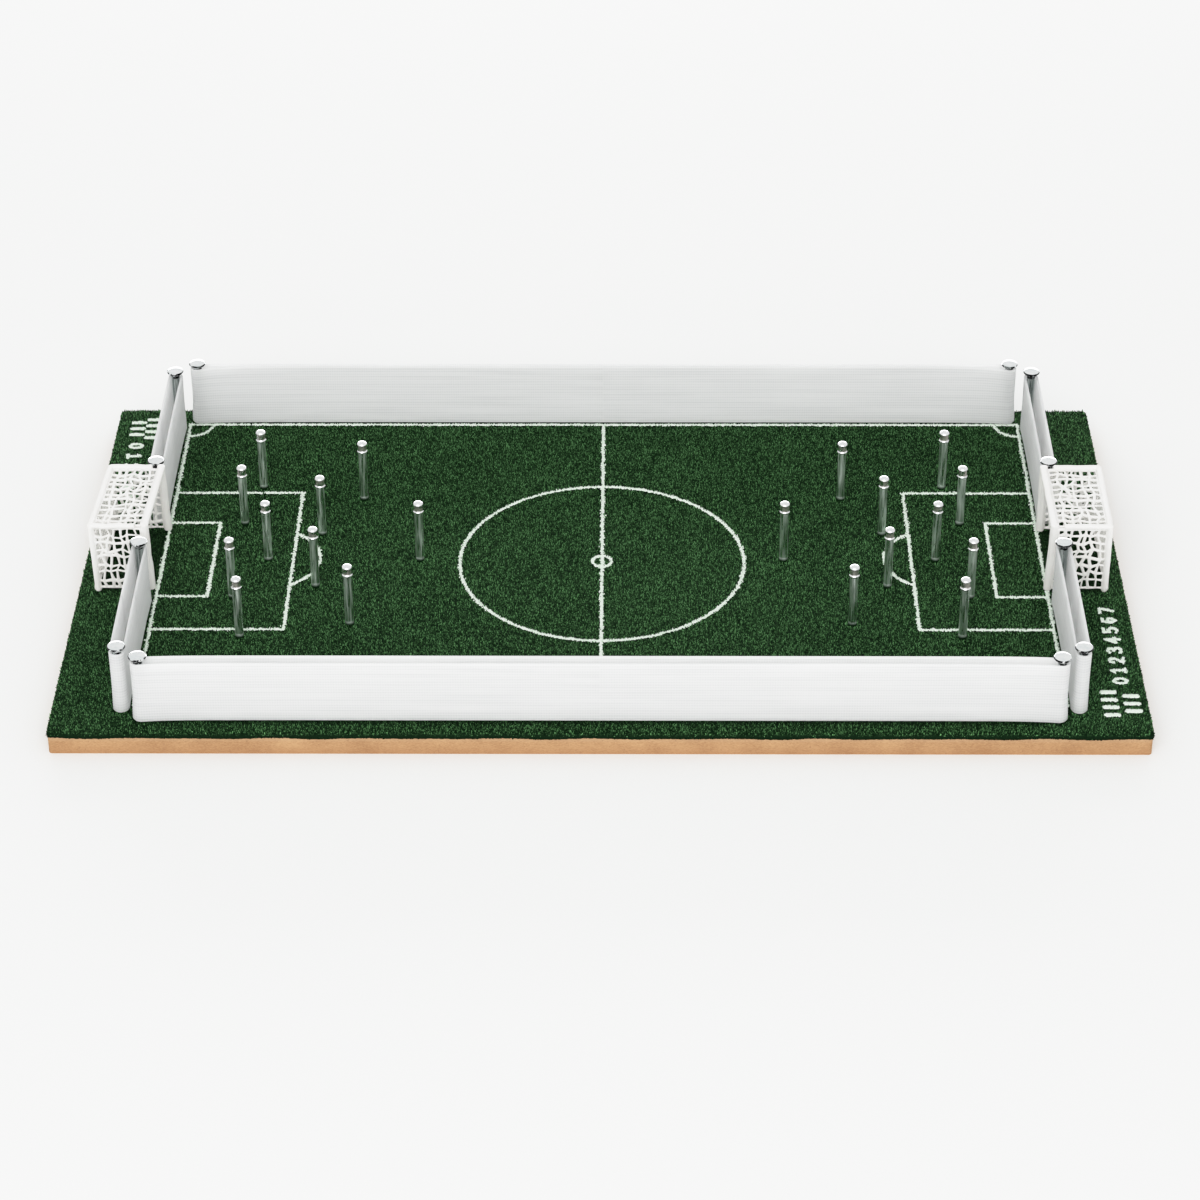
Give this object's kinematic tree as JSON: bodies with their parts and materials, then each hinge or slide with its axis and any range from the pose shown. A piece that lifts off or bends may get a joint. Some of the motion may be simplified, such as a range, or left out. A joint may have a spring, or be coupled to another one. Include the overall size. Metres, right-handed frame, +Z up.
{
  "type": "tabletop pin football board",
  "caption": "Flat turf-covered board for pin football: steel player pins, a netted goal at each end and springy side walls of wide elastic looped round steel posts.",
  "frame": {"origin": "centre of the board's underside, where it rests on a table", "axes": "+X along the board from the left goal to the right goal, +Y from the front wall to the back wall, +Z up"},
  "size_m": [0.6, 0.344, 0.0594],
  "materials": {
    "fibreboard": "bare sawn fibreboard",
    "turf": "short cut pile with white lines",
    "post_steel": "bright zinc-plated",
    "pin_steel": "polished",
    "woven_elastic": "ribbed woven elastic",
    "goal_plastic": "moulded",
    "goal_net": "moulded strands"
  },
  "bodies": {
    "board": {"back_wall_post_left": "post_steel", "back_wall_post_right": "post_steel", "base_board": "fibreboard", "front_wall_post_left": "post_steel", "front_wall_post_right": "post_steel", "left_back_wall_post_inner": "post_steel", "left_back_wall_post_outer": "post_steel", "left_front_wall_post_inner": "post_steel", "left_front_wall_post_outer": "post_steel", "left_goal_back_side_net": "goal_net", "left_goal_frame": "goal_plastic", "left_goal_front_side_net": "goal_net", "left_goal_rear_net": "goal_net", "left_goal_top_net": "goal_net", "left_player_pin_01": "pin_steel", "left_player_pin_02": "pin_steel", "left_player_pin_03": "pin_steel", "left_player_pin_04": "pin_steel", "left_player_pin_05": "pin_steel", "left_player_pin_06": "pin_steel", "left_player_pin_07": "pin_steel", "left_player_pin_08": "pin_steel", "left_player_pin_09": "pin_steel", "left_player_pin_10": "pin_steel", "right_back_wall_post_inner": "post_steel", "right_back_wall_post_outer": "post_steel", "right_front_wall_post_inner": "post_steel", "right_front_wall_post_outer": "post_steel", "right_goal_back_side_net": "goal_net", "right_goal_frame": "goal_plastic", "right_goal_front_side_net": "goal_net", "right_goal_rear_net": "goal_net", "right_goal_top_net": "goal_net", "right_player_pin_01": "pin_steel", "right_player_pin_02": "pin_steel", "right_player_pin_03": "pin_steel", "right_player_pin_04": "pin_steel", "right_player_pin_05": "pin_steel", "right_player_pin_06": "pin_steel", "right_player_pin_07": "pin_steel", "right_player_pin_08": "pin_steel", "right_player_pin_09": "pin_steel", "right_player_pin_10": "pin_steel", "turf_mat": "turf"},
    "front_wall": {"front_elastic": "woven_elastic"},
    "back_wall": {"back_elastic": "woven_elastic"},
    "left_front_wall": {"left_front_elastic": "woven_elastic"},
    "left_back_wall": {"left_back_elastic": "woven_elastic"},
    "right_front_wall": {"right_front_elastic": "woven_elastic"},
    "right_back_wall": {"right_back_elastic": "woven_elastic"}
  },
  "joints": [
    {"name": "front_wall_flex", "type": "slide", "parent": "board", "child": "front_wall", "axis": [0, -1, 0], "range_m": [-0.006, 0.015], "stiffness_N_per_m": 200, "deforming": ["front_elastic"]},
    {"name": "back_wall_flex", "type": "slide", "parent": "board", "child": "back_wall", "axis": [0, 1, 0], "range_m": [-0.006, 0.015], "stiffness_N_per_m": 200, "deforming": ["back_elastic"]},
    {"name": "left_front_wall_flex", "type": "slide", "parent": "board", "child": "left_front_wall", "axis": [-1, 0, 0], "range_m": [-0.003, 0.006], "stiffness_N_per_m": 700, "deforming": ["left_front_elastic"]},
    {"name": "left_back_wall_flex", "type": "slide", "parent": "board", "child": "left_back_wall", "axis": [-1, 0, 0], "range_m": [-0.003, 0.006], "stiffness_N_per_m": 700, "deforming": ["left_back_elastic"]},
    {"name": "right_front_wall_flex", "type": "slide", "parent": "board", "child": "right_front_wall", "axis": [1, 0, 0], "range_m": [-0.003, 0.006], "stiffness_N_per_m": 700, "deforming": ["right_front_elastic"]},
    {"name": "right_back_wall_flex", "type": "slide", "parent": "board", "child": "right_back_wall", "axis": [1, 0, 0], "range_m": [-0.003, 0.006], "stiffness_N_per_m": 700, "deforming": ["right_back_elastic"]}
  ]
}
